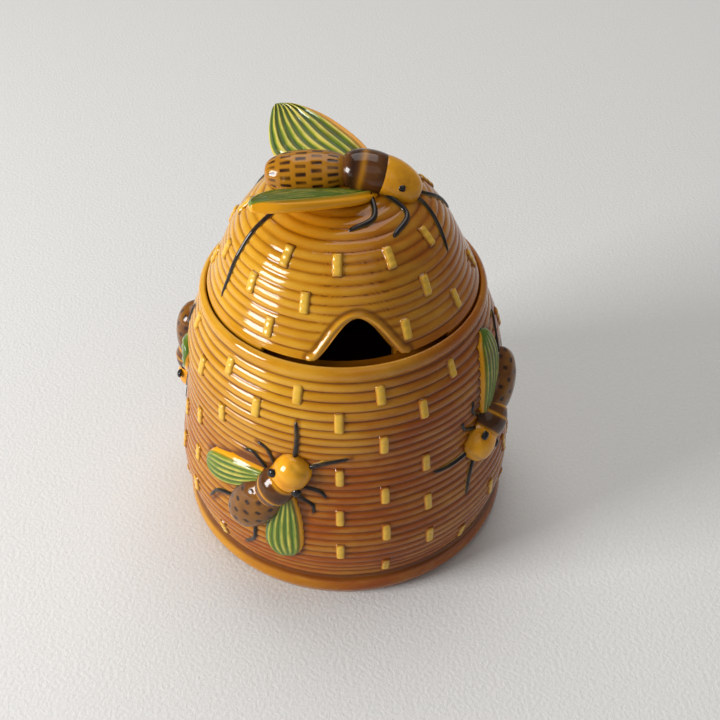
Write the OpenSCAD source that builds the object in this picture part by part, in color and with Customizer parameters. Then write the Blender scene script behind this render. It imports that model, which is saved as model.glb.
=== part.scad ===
// Glazed ceramic honey pot shaped like a coiled straw hive, with relief bees on the wall
// and a loose domed lid that carries a large bee as its handle.
// Millimetres. Origin at the centre of the base, +Z up, the spoon notch faces -Y.

/* [Pot] */
// Largest radius of the pot, at the belly
belly_r = 49.4; // [40:0.1:60]
// Height of the pot's mouth above the base
pot_h = 79.8; // [60:0.1:100]
// Thickness of the pot wall
wall_t = 4.6; // [3:0.1:7]
// Thickness of the pot floor
floor_t = 6; // [4:0.1:10]
// Height of the plain foot band
foot_h = 7.7; // [4:0.1:12]
// Number of straw coils on the pot wall
pot_coils = 27; // [12:1:40]
// Height of a coil ridge over its grooves
coil_rise = 0.65; // [0.2:0.05:1.2]

/* [Binding stitches] */
// Stitches round the pot in one row
pot_stitches = 12; // [6:1:16]
// Stitches round the lid in one row
lid_stitches = 12; // [6:1:18]
// Width of one stitch
stitch_w = 2.8; // [1.5:0.1:4]
// Length of one stitch
stitch_l = 6.2; // [3:0.1:9]

/* [Lid] */
// Outer radius of the lid's rim
lid_r = 37.1; // [30:0.1:45]
// Height of the dome above the lid's rim
dome_h = 30.1; // [15:0.1:45]
// Thickness of the lid shell
lid_t = 4; // [3:0.1:6]
// Number of straw coils from the rim to the top of the dome
lid_coils = 17; // [8:1:24]
// Running gap between the lid and the pot's seat
fit_gap = 0.4; // [0.3:0.05:1]
// Depth of the ring under the lid that keeps it centred
spigot_h = 5; // [3:0.1:10]
// How far the lid drops into the pot's seat
seat_depth = 1.6; // [1:0.1:3]

/* [Spoon notch] */
// Width of the notch at the rim
notch_w = 22.5; // [12:0.1:30]
// Height of the notch above the rim
notch_h = 10; // [6:0.1:16]
// Width of the raised bead round the notch
notch_bead = 1.6; // [0.8:0.1:3]

/* [Bees] */
// Length of a relief bee's body
bee_l = 29; // [18:0.1:36]
// How far a relief bee's wings stand out of the wall
wing_rise = 1.9; // [1:0.1:3]
// Length of the handle bee's body
finial_l = 39.4; // [28:0.1:50]
// Thickness of the handle bee's wings
finial_wing_t = 3.6; // [2:0.1:5]
// Angle at which the handle bee's wings are raised
wing_lift = 24; // [10:1:50]
// Heading of the handle bee, anticlockwise from +X
finial_yaw = -11; // [-90:1:90]

/* [Hidden] */
$fn = 96;
rs = belly_r / 49.4;
zs = pot_h / 79.8;
ls = lid_r / 37.1;
ds = dome_h / 30.1;
bs = bee_l / 29;
fs = finial_l / 39.4;
eps = 0.01;

// wall control points, height and radius
WALL = [[0, 47.9 * rs], [foot_h + 0.4, 47.4 * rs], [14 * zs, 48.7 * rs], [22 * zs, 49.3 * rs],
        [34 * zs, 47.5 * rs], [48 * zs, 45.5 * rs], [60 * zs, 44.4 * rs], [67 * zs, 42.6 * rs],
        [74 * zs, 39.7 * rs], [pot_h, 38.9 * rs]];
wall_top = 75.3 * zs;
mouth_r = 38.7 * rs;
seat_z = pot_h - seat_depth;
rim_z = seat_z + 2.3;
seat_r = min(lid_r + fit_gap, mouth_r - 0.8);
open_r = seat_r - 4;
spigot_r = open_r - fit_gap;

function slope(P, i) = i == 0 ? (P[1][1] - P[0][1]) / (P[1][0] - P[0][0])
    : i == len(P) - 1 ? (P[i][1] - P[i - 1][1]) / (P[i][0] - P[i - 1][0])
    : (P[i + 1][1] - P[i - 1][1]) / (P[i + 1][0] - P[i - 1][0]);
function span(P, x, i = 0) = (i >= len(P) - 2 || x < P[i + 1][0]) ? i : span(P, x, i + 1);
// smooth curve through control points
function along(P, x) = let (i = span(P, x), h = P[i + 1][0] - P[i][0], t = (x - P[i][0]) / h,
    a = slope(P, i) * h, b = slope(P, i + 1) * h)
    (2 * t^3 - 3 * t^2 + 1) * P[i][1] + (t^3 - 2 * t^2 + t) * a
    + (3 * t^2 - 2 * t^3) * P[i + 1][1] + (t^3 - t^2) * b;

function wall_r(z) = along(WALL, z);
function wall_lean(z) = atan((wall_r(z + 1) - wall_r(z - 1)) / 2);
pot_pitch = (wall_top - foot_h) / pot_coils;
// the rounded section of one coil, t runs from groove to groove
function ridge(t) = sqrt(max(0, 1 - (2 * t - 1)^2));
STEPS = [0, 0.18, 0.5, 0.82];

function coil_points(lift) = [for (i = [0 : pot_coils - 1]) for (t = STEPS)
    let (z = foot_h + (i + t) * pot_pitch) [wall_r(z) + coil_rise * (ridge(t) - 0.5) + lift, z]];
collar_bulge = 0.9 * rs;
function collar_points(lift) = [for (a = [0 : 30 : 150])
    let (z = wall_top + (pot_h - wall_top) * a / 180)
    [wall_r(z) + collar_bulge * sin(a) - 0.3 + lift, z]];
foot_r = 49 * rs;
function foot_points(lift) = [for (a = [0 : 20 : 160])
    [foot_r - 1.5 + 1.5 * sin(a) + lift, foot_h * a / 180]];

// outline of the whole pot, solid inside
module pot_outline(lift = 0) {
    polygon(concat([[0, 0]], foot_points(lift), coil_points(lift), collar_points(lift),
        [[mouth_r - 0.9 + lift, pot_h], [0, pot_h]]));
}
module pot_solid() { rotate_extrude() pot_outline(); }

// plain skin over the coils, used to shape and seat what lies on the wall
skin_steps = 24;
module pot_skin(lift) {
    rotate_extrude() polygon(concat([[wall_r(pot_h) / 2, foot_h]],
        [for (i = [0 : skin_steps]) let (z = foot_h + i * (wall_top - foot_h) / skin_steps) [wall_r(z) + lift, z]],
        [[wall_r(pot_h) / 2, wall_top]]));
}
// a bee's underside lies just clear of the coils' crests
seat_lift = coil_rise / 2 + 0.06;

inner_low = floor_t;
module pot_hollow() {
    rotate_extrude() polygon(concat([[0, inner_low], [36 * rs, inner_low], [40.5 * rs, inner_low + 2.5]],
        [for (z = [14 : 8 : 62]) [wall_r(z * zs) - wall_t, z * zs]],
        [[open_r + 1.2, 72 * zs], [open_r, 73.5 * zs], [open_r, seat_z], [seat_r, seat_z],
         [seat_r, pot_h + 1], [0, pot_h + 1]]));
}

// puts what follows on the wall: x along the wall, y up it, z straight out of it
module on_wall(turn, z) {
    rotate([0, 0, turn]) translate([0, -wall_r(z), z]) rotate([90 + wall_lean(z), 0, 0]) children();
}

module stitch(l) {
    rotate([90, 0, 0]) translate([0, 0, -l / 2]) cylinder(h = l, r = stitch_w * 0.62, $fn = 32);
}

// heights of the rows of stitches, every second row stands half a step further round
STITCH_Z = [12.9, 21.2, 27.1, 33.5, 40, 47.3, 57.6, 65.2, 71.7] * zs;
stitch_turn = 7;
module pot_body() {
    color([0.80, 0.55, 0.16]) difference() {
        union() {
            pot_solid();
            for (k = [0 : len(STITCH_Z) - 1])
                for (i = [0 : pot_stitches - 1])
                    let (z = STITCH_Z[k], a = (i + (k % 2) / 2) * 360 / pot_stitches + stitch_turn)
                    if (!under_bee(a, z)) on_wall(a, z) translate([0, 0, -0.55]) stitch(stitch_l);
        }
        pot_hollow();
        translate([0, 0, -1]) cylinder(h = 2.6, r = 41 * rs);
    }
}

// relief bees: turn round the pot, height, heading from level towards +turn
BEES = [[-29, 42.5 * zs, 54], [53, 47.2 * zs, -145], [-109, 42 * zs, -95], [152, 42 * zs, 62]];

function turn_deg(a, b) = (a - b + 900) % 360 - 180;
function gap_deg(a, b) = abs(turn_deg(a, b));
// a stitch's place seen from a bee: forwards and sideways
function from_bee(a, z, b) = let (x = turn_deg(a, b[0]) * PI / 180 * wall_r(z), y = z - b[1])
    [x * cos(b[2]) + y * sin(b[2]), abs(y * cos(b[2]) - x * sin(b[2]))] / bs;
function off_line(p, a, b) = let (d = b - a, t = max(0, min(1, (p - a) * d / (d * d)))) norm(p - a - d * t);
function near_line(p, L, reach) = len([for (l = L) for (i = [0 : len(l) - 2])
    if (off_line(p, l[i], l[i + 1]) < reach) 1]) > 0;
function covers(p) = (abs(p[0] + 4) < 20.5 && p[1] < 9.8) || off_line(p, [-1, 4.5], [-16.5, 14.5]) < 9
    || near_line(p, LEGS, 4.1);
function under_bee(a, z) = len([for (b = BEES) if (covers(from_bee(a, z, b))) 1]) > 0;

// a body of revolution along x with rounded ends
module pod(x0, x1, r, full = 1) {
    n = 12;
    rotate([0, 90, 0]) rotate_extrude($fn = 48)
        polygon([for (i = [0 : n]) let (a = 180 * i / n)
            [i == 0 || i == n ? 0 : r * pow(sin(a), full), x0 + (x1 - x0) * (1 - cos(a)) / 2]]);
}

module bee_at(b) { on_wall(b[0], b[1]) rotate([0, 0, b[2]]) scale(bs) children(); }

module body_form() {
    translate([0, 0, 0.3]) pod(-6, 5.2, 5.6, 0.65);
    translate([0, 0, -0.6]) pod(-20.6, -1.5, 5.9, 0.6);
}
module head_form() { translate([0, 0, -0.1]) pod(1, 12.4, 5.3, 0.7); }

WING = [[2.5, 2], [0.8, 5.6], [-5, 12.5], [-12.5, 18.3], [-16.2, 19.2], [-19.2, 18.3], [-21.5, 14.6],
        [-19.5, 9.5], [-13, 5.5], [-5, 3.4], [-1.5, 1]];
module wing_form() {
    for (m = [0, 1]) mirror([0, m, 0]) translate([0, 0, -6]) linear_extrude(height = 16) polygon(WING);
}

// outline of a bent strip, one side out and the other side back
function unit(v) = v / norm(v);
function side(L, i) = let (a = unit(L[min(i + 1, len(L) - 1)] - L[min(i, len(L) - 2)]),
    b = unit(L[max(i, 1)] - L[max(i - 1, 0)]), d = unit(a + b)) [-d[1], d[0]];
function strip(L, w) = concat([for (i = [0 : len(L) - 1]) L[i] + side(L, i) * w / 2],
    [for (i = [len(L) - 1 : -1 : 0]) L[i] - side(L, i) * w / 2]);
LEGS = [[[10, 1.6], [16, 5], [21, 9]], [[4, 3.4], [6.7, 9], [6, 12.2]],
        [[0.8, 3.6], [1.6, 10.3], [-0.6, 12.8]], [[-16, 3.6], [-23, 8], [-29.5, 8]]];
leg_w = 1.6;
leg_rise = 1.3;
module leg_form() {
    for (m = [0, 1]) mirror([0, m, 0]) translate([0, 0, -6]) linear_extrude(height = 12)
        for (l = LEGS) polygon(strip(l, leg_w));
}

module bee_body(b) {
    color([0.36, 0.20, 0.12]) difference() { bee_at(b) body_form(); pot_skin(seat_lift); }
}
module bee_head(b) {
    color([0.78, 0.50, 0.12]) difference() {
        bee_at(b) head_form();
        bee_at(b) body_form();
        pot_skin(seat_lift);
    }
}
module bee_wings(b) {
    color([0.42, 0.55, 0.25]) difference() {
        intersection() { bee_at(b) wing_form(); pot_skin(wing_rise); }
        bee_at(b) body_form();
        pot_skin(seat_lift);
    }
}
module bee_legs(b) {
    color([0.10, 0.08, 0.07]) difference() {
        intersection() { bee_at(b) leg_form(); pot_skin(leg_rise); }
        bee_at(b) { body_form(); head_form(); wing_form(); }
        pot_skin(seat_lift);
    }
}
module bee_front_body() { bee_body(BEES[0]); }
module bee_front_head() { bee_head(BEES[0]); }
module bee_front_wings() { bee_wings(BEES[0]); }
module bee_front_legs() { bee_legs(BEES[0]); }
module bee_right_body() { bee_body(BEES[1]); }
module bee_right_head() { bee_head(BEES[1]); }
module bee_right_wings() { bee_wings(BEES[1]); }
module bee_right_legs() { bee_legs(BEES[1]); }
module bee_left_body() { bee_body(BEES[2]); }
module bee_left_head() { bee_head(BEES[2]); }
module bee_left_wings() { bee_wings(BEES[2]); }
module bee_left_legs() { bee_legs(BEES[2]); }
module bee_back_body() { bee_body(BEES[3]); }
module bee_back_head() { bee_head(BEES[3]); }
module bee_back_wings() { bee_wings(BEES[3]); }
module bee_back_legs() { bee_legs(BEES[3]); }

// dome control points: fraction of the way from rim to top, then radius or height over the rim
DOME_R = [[0, lid_r], [0.2, 33 * ls], [0.4, 29.4 * ls], [0.6, 23.4 * ls], [0.8, 13 * ls], [1, 0]];
DOME_Z = [[0, 0], [0.2, 8.1 * ds], [0.4, 15.7 * ds], [0.6, 23.2 * ds], [0.8, 28.4 * ds], [1, dome_h], [1.2, 28.4 * ds]];
function dome(u) = [along(DOME_R, u), rim_z + along(DOME_Z, u)];
function dome_tangent(u) = let (d = dome(min(1, u + 0.01)) - dome(max(0, u - 0.01))) d / norm(d);
function dome_normal(u) = let (t = dome_tangent(u)) [t[1], -t[0]];
function dome_skin(lift) = [for (i = [0 : 19]) let (u = i / 20) dome(u) + dome_normal(u) * lift];
lip_u = 0.05;
function lid_points(lift) = concat([[lid_r + lift, seat_z], [lid_r + lift, rim_z - 0.5]],
    [for (i = [0 : lid_coils - 1]) for (t = STEPS)
        let (u = lip_u + (1 - lip_u) * (i + t) / lid_coils)
        dome(u) + dome_normal(u) * (coil_rise * (ridge(t) - 0.5) + lift)]);

module lid_solid(lift = 0) {
    rotate_extrude() polygon(concat([[0, seat_z]], lid_points(lift), [[0, rim_z + dome_h + lift]]));
}
module dome_cap(lift) {
    rotate_extrude() polygon(concat([[0, seat_z]], dome_skin(lift), [[0, rim_z + dome_h + lift]]));
}

// bell outline of the notch, w wide at the rim and h high
bell = 1.25;
module notch_shape(w, h) {
    polygon(concat([[-w / 2 - 3, -8], [-w / 2 - 3, -2.4], [-w / 2, -2.4]],
        [for (i = [1 : 15]) let (s = i / 8 - 1) [s * w / 2, h * pow(cos(90 * s), bell)]],
        [[w / 2, -2.4], [w / 2 + 3, -2.4], [w / 2 + 3, -8]]));
}
module notch_cut(w, h) {
    translate([0, 0, rim_z]) rotate([90, 0, 0]) linear_extrude(height = 60) notch_shape(w, h);
}

module on_dome(turn, u) {
    p = dome(u);
    t = dome_tangent(u);
    rotate([0, 0, turn]) translate([0, -p[0], p[1]]) rotate([atan2(t[1], -t[0]), 0, 0]) children();
}

LID_ROWS = [[0.55, 0], [0.33, 0.5], [0.13, 0]];
// a lid stitch seen from above by the handle bee, and whether a leg or feeler lies over it
function from_top(a, u) = let (r = dome(u)[0], x = r * sin(a), y = -r * cos(a))
    [x * cos(finial_yaw) + y * sin(finial_yaw), abs(y * cos(finial_yaw) - x * sin(finial_yaw))] / fs;
function under_leg(a, u) = near_line(from_top(a, u), concat(FEET, FEELERS), 4.4);
module lid_dome() {
    color([0.84, 0.60, 0.18]) difference() {
        union() {
            lid_solid();
            spigot();
            intersection() {
                notch_cut(notch_w + 2 * notch_bead, notch_h + notch_bead);
                dome_cap(0.9);
                translate([-60, -60, seat_z]) cube([120, 60, 60]);
            }
            for (row = LID_ROWS) for (i = [0 : lid_stitches - 1])
                let (a = (i + row[1]) * 360 / lid_stitches - 9)
                if ((gap_deg(a, 0) > 19 || row[0] > 0.5) && !under_leg(a, row[0]))
                    on_dome(a, row[0]) translate([0, 0, -0.55]) stitch(stitch_l);
        }
        lid_hollow();
        notch_cut(notch_w, notch_h);
    }
}
module spigot() {
    translate([0, 0, seat_z - spigot_h]) difference() {
        cylinder(h = spigot_h + 2, r = spigot_r);
        translate([0, 0, -1]) cylinder(h = spigot_h + 4, r = spigot_r - 2.6);
    }
}
module lid_hollow() {
    rotate_extrude() polygon(concat([[0, seat_z - spigot_h - 1], [spigot_r - 2.6, seat_z - spigot_h - 1],
        [spigot_r - 2.6, seat_z]],
        [for (i = [1 : 9]) let (u = 0.04 + i * 0.1) dome(u) - dome_normal(u) * lid_t],
        [[0, rim_z + dome_h - lid_t]]));
}

// handle bee: x along the body towards the head, y to its left
finial_z = rim_z + dome_h + 2.7;
module finial_at() { translate([0, 0, finial_z]) rotate([0, 0, finial_yaw]) scale(fs) children(); }

module abdomen_form() { translate([0, 0, -0.5]) rotate([0, -5, 0]) pod(-19.8, 2.5, 5.9, 0.62); }
module thorax_form() { translate([7, 0, -0.4]) rotate([0, 11, 0]) pod(-7.6, 7.4, 6.2, 0.65); }
module finial_head_form() { translate([13.8, 0, -3.6]) rotate([0, 36, 0]) pod(-5.4, 6.8, 5.7, 0.62); }

BIG_WING = [[10.3, 1.3], [9.2, 5.4], [5.5, 10.7], [1, 15], [-3.3, 18.6], [-11.5, 22.7], [-16.5, 23.8],
            [-19.5, 23.4], [-20.9, 21], [-20.7, 15], [-19.6, 9.5], [-18, 6.6], [-12.6, 5.1], [-5, 3.9], [1.6, 1.3]];
module finial_wing_form(m) {
    mirror([0, m, 0]) translate([0, 2.8, -5.3]) rotate([wing_lift, 0, 0]) translate([0, 0, -finial_wing_t / 2 / fs])
        linear_extrude(height = finial_wing_t / fs) polygon(BIG_WING);
}

module finial_thorax() {
    color([0.30, 0.16, 0.10]) difference() { finial_at() thorax_form(); lid_solid(); }
}
module finial_abdomen() {
    color([0.42, 0.24, 0.13]) difference() { finial_at() abdomen_form(); finial_at() thorax_form(); lid_solid(); }
}
module finial_head() {
    color([0.80, 0.54, 0.13]) difference() {
        finial_at() finial_head_form();
        finial_at() thorax_form();
        lid_solid();
    }
}
// nothing of a wing reaches under the middle of the body
wing_root = 3.6;
module wing_gap() {
    translate([-finial_l, -wing_root, -finial_l]) cube([2 * finial_l, 2 * wing_root, 2 * finial_l]);
}
module finial_wing(m) {
    color([0.55, 0.60, 0.22]) difference() {
        finial_at() finial_wing_form(m);
        finial_at() { thorax_form(); abdomen_form(); wing_gap(); }
        lid_solid();
    }
}
module finial_wing_left() { finial_wing(0); }
module finial_wing_right() { finial_wing(1); }

// legs and feelers that lie on the dome, seen from above
FEET = [[[7, 4], [9, 13], [3, 18]], [[10, 4], [17, 9], [14, 17]], [[-8, 4], [-17.6, 11], [-30.7, 17.6]]];
FEELERS = [[[16, 1], [21.5, 2.6], [28, 10]]];
module strips(L, w) {
    for (m = [0, 1]) mirror([0, m, 0]) translate([0, 0, -40]) linear_extrude(height = 60)
        for (l = L) polygon(strip(l, w));
}
module finial_legs() {
    color([0.10, 0.08, 0.07]) difference() {
        intersection() { finial_at() strips(FEET, 2); dome_cap(1.6); }
        finial_at() { thorax_form(); abdomen_form(); finial_head_form(); finial_wing_form(0); finial_wing_form(1); }
        lid_solid();
    }
}
module finial_feelers() {
    color([0.13, 0.10, 0.08]) difference() {
        intersection() { finial_at() strips(FEELERS, 1.9); dome_cap(1.5); }
        finial_at() { thorax_form(); finial_head_form(); }
        lid_solid();
    }
}

pot_body();
bee_front_body();
bee_front_head();
bee_front_wings();
bee_front_legs();
bee_right_body();
bee_right_head();
bee_right_wings();
bee_right_legs();
bee_left_body();
bee_left_head();
bee_left_wings();
bee_left_legs();
bee_back_body();
bee_back_head();
bee_back_wings();
bee_back_legs();
lid_dome();
finial_abdomen();
finial_thorax();
finial_head();
finial_wing_left();
finial_wing_right();
finial_legs();
finial_feelers();
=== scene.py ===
"""A glazed honey pot in the shape of a coiled straw hive, with bees and a loose domed lid."""
import math

import bmesh
import bpy
import numpy as np
from bpy.props import FloatProperty, FloatVectorProperty, PointerProperty
from mathutils import Matrix, Vector


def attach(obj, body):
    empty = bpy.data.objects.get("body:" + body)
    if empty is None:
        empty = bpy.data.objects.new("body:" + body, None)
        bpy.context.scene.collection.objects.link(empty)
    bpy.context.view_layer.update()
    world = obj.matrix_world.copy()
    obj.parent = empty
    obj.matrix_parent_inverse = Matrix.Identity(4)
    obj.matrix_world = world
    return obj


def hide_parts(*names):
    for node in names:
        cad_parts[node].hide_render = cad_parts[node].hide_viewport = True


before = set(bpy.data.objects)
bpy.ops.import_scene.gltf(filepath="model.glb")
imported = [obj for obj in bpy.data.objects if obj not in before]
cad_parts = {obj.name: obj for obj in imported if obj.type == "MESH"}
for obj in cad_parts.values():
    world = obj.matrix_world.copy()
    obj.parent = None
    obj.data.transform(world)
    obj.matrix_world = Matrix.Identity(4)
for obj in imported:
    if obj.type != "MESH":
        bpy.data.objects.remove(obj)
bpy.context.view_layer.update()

bl_info = {
    "name": "Hive honey pot",
    "version": (1, 0, 0),
    "blender": (4, 5, 0),
    "location": "View3D > Sidebar > Honey pot",
    "description": "Dresses the packed honey pot with its coils, stitches, bees and glazes",
    "category": "Object",
}

MM = 0.001

# Sizes of the pot and the lid in millimetres, as in the solid model
POT_H = 79.8
FOOT_H = 7.7
FOOT_R = 49.0
RECESS_H = 1.6
FLOOR_T = 6.0
POT_COILS = 27
WALL_T = 4.6
MOUTH_R = 38.7
SEAT_Z = 78.2
RIM_Z = 80.5
SEAT_R = 37.5
OPEN_R = 33.5
SPIGOT_R = 33.1
SPIGOT_H = 5.0
SPIGOT_T = 2.6
SPIGOT_START = 17.5  # degrees from the notch's middle to the ring's ends
LID_R = 37.1
DOME_H = 30.1
LID_T = 4.0
LID_COILS = 17
NOTCH_W = 22.5
NOTCH_H = 10.0
WALL_TOP = 75.3
COIL_PITCH = (WALL_TOP - FOOT_H) / POT_COILS
WALL = np.array([[0, 47.9], [8.1, 47.4], [14, 48.7], [22, 49.3], [34, 47.5], [48, 45.5],
                 [60, 44.4], [67, 42.6], [74, 39.7], [79.8, 38.9]])
DOME_R = np.array([[0, 37.1], [0.2, 33.0], [0.4, 29.4], [0.6, 23.4], [0.8, 13.0], [1.0, 0]])
DOME_Z = np.array([[0, 0], [0.2, 8.1], [0.4, 15.7], [0.6, 23.2], [0.8, 28.4], [1.0, 30.1], [1.2, 28.4]])

# Coils as the glaze softens them: rise over the grooves, and hand-made wander up and outwards
POT_COIL_RISE, LID_COIL_RISE = 0.48, 0.36
POT_WANDER_Z, POT_WANDER_R, LID_WANDER = 0.16, 0.07, 0.06
COLLAR_RISE = 0.9
LID_EDGE = 0.05  # share of the dome's profile that is plain rim

# Binding stitches: how many in a row, the rows, and the turn of the first in degrees
STITCHES = 12
STITCH_Z = (12.9, 21.2, 27.1, 33.5, 40.0, 47.3, 57.6, 65.2, 71.7)
LID_ROWS = ((0.55, 0.0), (0.33, 0.5), (0.13, 0.0))  # place up the dome, half step round it
POT_STITCH_TURN, LID_STITCH_TURN = 7, -9
STITCH_LIFT = 0.3
NOTCH_ROOM = 19  # degrees each side of the notch without lid stitches, except in the top row

# Relief bees: turn round the pot in degrees, height, heading
BEES = {"front": (-29.0, 42.5, 54.0), "right": (53.0, 47.2, -145.0),
        "left": (-109.0, 42.0, -95.0), "back": (152.0, 42.0, 62.0)}
# Their half pods: back end, front end, half width, height, bluntness of the ends
ABDOMEN = (-20.6, -1.5, 6.6, 5.4, 0.6)
THORAX = (-6, 5.2, 5.6, 5.9, 0.65)
HEAD = (1, 12.4, 5.3, 5.2, 0.7)
EYE = (3.9, 6.3, 1.25, 1.2, 0.5)
EYE_SIDE, EYE_UP = 3.9, 3.4
# Their feelers, legs and wing edges, forwards and left of the middle
LEGS = [[(10, 1.6), (16, 5), (21, 9)], [(4, 3.4), (6.7, 9), (6, 12.2)],
        [(0.8, 3.6), (1.6, 10.3), (-0.6, 12.8)], [(-16, 3.6), (-23, 8), (-29.5, 8)]]
WING_LEAD = [(2.0, 3.0), (-1.9, 8.7), (-6.8, 14.0), (-13.2, 18.3), (-19.2, 18.2)]
WING_TRAIL = [(0.0, 2.0), (-7.0, 3.8), (-14.0, 6.2), (-20.0, 10.4), (-21.4, 14.6), (-19.2, 18.2)]
WING_RIBS = 6
# Middle lines and half widths of body and wing, round which the glaze pools and shade is painted, and its
# reach
BODY_LINE, BODY_HALF = ((-15, 0), (7, 0)), 5.2
WING_LINE, WING_HALF = ((-4, 7), (-15.5, 14)), 4.8
POOL_AND_SHADE_REACH = 1.1
# Room that stitches leave round the body, the wings and the limbs
BODY_ROOM_MIDDLE, BODY_ROOM_L, BODY_ROOM_W = -4, 20.5, 9.8
WING_ROOM_LINE, WING_ROOM = ((-1, 4.5), (-16.5, 14.5)), 9
LEG_ROOM, FOOT_ROOM = 4.1, 4.4

# The handle bee: height of its middle, turn, and lift of its wings
FINIAL_Z = RIM_Z + DOME_H + 2.7
FINIAL_YAW = math.radians(-11)
WING_LIFT = math.radians(24)
# Its whole pods: back end, front end, radius, bluntness; and their tilt in degrees, forwards and up
BIG_ABDOMEN, ABDOMEN_SET = (-19.8, 2.5, 5.85, 0.62), (-5, 0, -0.5)
BIG_THORAX, THORAX_SET = (-7.6, 7.9, 5.95, 0.65), (12, 7, -0.7)
BIG_HEAD, HEAD_SET = (-8.6, 6.8, 5.8, 0.6), (36, 13.8, -3.6)
BIG_EYE_R, BIG_EYE_PLACE = 0.95, (15.6, 4.85, -1.95)
# Its wing edges with the wing's root sideways and down, its legs and its feelers
BIG_LEAD = [(10.3, 1.3), (5.5, 10.7), (-3.3, 18.6), (-11.5, 22.7), (-19.5, 23.6)]
BIG_TRAIL = [(1.6, 1.3), (-10.0, 3.0), (-18.0, 6.4), (-20.6, 13.6), (-20.6, 21.0), (-19.5, 23.6)]
BIG_WING_ROOT, BIG_WING_DROP, BIG_WING_RIBS = 2.8, -5.3, 8
FEET = [[(7, 4), (9, 13), (3, 18)], [(10, 4), (17, 9), (14, 17)], [(-8, 4), (-17.6, 11), (-30.7, 17.6)]]
FEELERS = [[(16, 1), (21.5, 2.6), (28, 10)]]

# Glaze finish, and the blacks that no setting changes
GLAZE_IOR, SPECULAR, COAT, COAT_ROUGHNESS, BUMP_STRENGTH = 1.5, 0.22, 0.25, 0.03, 0.6
INK, INK_DEEP, PUPIL = (0.02, 0.014, 0.012), (0.012, 0.01, 0.01), (0.012, 0.01, 0.012)
# Where the honey glaze is darker, in metres: towards the bottom of the wall, with painted shade across it
# towards the right, and less on the foot band
DEEP_HIGH, DEEP_LOW = 0.084, 0.036
SHADE_START, SHADE_END = -0.030, 0.034
FOOT_PALE_HIGH, FOOT_PALE_LOW = 0.0075, 0.0055

# Lamps: name, turn and height in degrees, distance, width, height, watts, tint
LAMPS = (("window", -76, 18, 0.9, 0.36, 0.32, 9.6, (1, 1, 1)),
         ("sky", 178, 66, 1.7, 1.5, 1.5, 16.5, (1, 0.99, 0.98)),
         ("fill", 12, 48, 1.6, 0.9, 0.9, 1.6, (1, 0.98, 0.95)))
LAMP_AIM = Vector((0, 0, 0.06))
ROOM_LIGHT = 0.20
# Floor in metres: front edge, where it bends up, radius of the bend, top, half width; its two tones
FLOOR_FRONT, FLOOR_BACK, BEND_R, BACKDROP_H, FLOOR_HALF = -2, 1.2, 0.6, 2.4, 2.5
FLOOR_TONES = (0.64, 0.635, 0.62), (0.71, 0.705, 0.69)
CAMERA_AIM = Vector((0, 0, 0.05))
CAMERA_SHIFT = 0.0221, -0.0072
CAMERA_ROLL = math.radians(-0.8)
SENSOR_W = 36  # millimetres


# Curves of the form

def smooth_curve(knots, x):
    """Reads a smooth curve through (x, value) knots."""
    x = np.asarray(x, float)
    kx, ky = knots[:, 0], knots[:, 1]
    m = np.empty(len(kx))
    m[1:-1] = (ky[2:] - ky[:-2]) / (kx[2:] - kx[:-2])
    m[0] = (ky[1] - ky[0]) / (kx[1] - kx[0])
    m[-1] = (ky[-1] - ky[-2]) / (kx[-1] - kx[-2])
    i = np.clip(np.searchsorted(kx, x, side="right") - 1, 0, len(kx) - 2)
    h = kx[i + 1] - kx[i]
    t = (x - kx[i]) / h
    return ((2 * t**3 - 3 * t**2 + 1) * ky[i] + (t**3 - 2 * t**2 + t) * m[i] * h
            + (3 * t**2 - 2 * t**3) * ky[i + 1] + (t**3 - t**2) * m[i + 1] * h)


def wall_radius(z):
    return smooth_curve(WALL, z)


def dome_point(u):
    return smooth_curve(DOME_R, u), RIM_Z + smooth_curve(DOME_Z, u)


def dome_normal(u):
    r0, z0 = dome_point(np.maximum(0, u - 0.01))
    r1, z1 = dome_point(np.minimum(1, u + 0.01))
    length = np.hypot(r1 - r0, z1 - z0)
    return (z1 - z0) / length, (r0 - r1) / length


def rope(t):
    """Height of one coil over its grooves, for t from groove to groove."""
    return np.sqrt(np.maximum(0, 1 - (2 * (t % 1) - 1) ** 2))


def step(a, b, x):
    t = np.clip((np.asarray(x, float) - a) / (b - a), 0, 1)
    return t * t * (3 - 2 * t)


def bell(x, middle, width):
    """1 at the middle, falling off on both sides."""
    return np.exp(-((x - middle) / width) ** 2)


def coil_marks(lift):
    """How much glaze pools in the grooves beside a coil, and how much thins on its crest."""
    return 0.95 * (1 - step(0.0, 0.75, lift)), 0.45 * step(0.7, 1.0, lift)


def around(turn, r, z):
    """Points in millimetres at a turn in degrees from the notch side, a radius and a height."""
    a = np.radians(turn)
    return np.stack([r * np.sin(a), -r * np.cos(a), z], -1)


# Meshes

def quads(rows, cols, wrap=True):
    """Faces of a grid of points; wrap joins its last column to its first."""
    i, j = np.meshgrid(np.arange(rows - 1), np.arange(cols if wrap else cols - 1), indexing="ij")
    k = (j + 1) % cols
    return np.stack([i * cols + j, i * cols + k, (i + 1) * cols + k, (i + 1) * cols + j], -1).reshape(-1, 4)


def mesh_from(name, points, faces, marks=None):
    """A smooth mesh from millimetre points, with named point values for its glaze."""
    mesh = bpy.data.meshes.new(name)
    mesh.from_pydata((np.asarray(points).reshape(-1, 3) * MM).tolist(), [],
                     [list(map(int, f)) for f in faces])
    for key, values in (marks or {}).items():
        layer = mesh.attributes.new(key, "FLOAT", "POINT")
        layer.data.foreach_set("value", np.asarray(values, np.float32).ravel())
    bm = bmesh.new()
    bm.from_mesh(mesh)
    bmesh.ops.remove_doubles(bm, verts=bm.verts, dist=1e-7)
    bmesh.ops.recalc_face_normals(bm, faces=bm.faces)
    bm.to_mesh(mesh)
    bm.free()
    mesh.shade_smooth()
    return mesh


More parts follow.
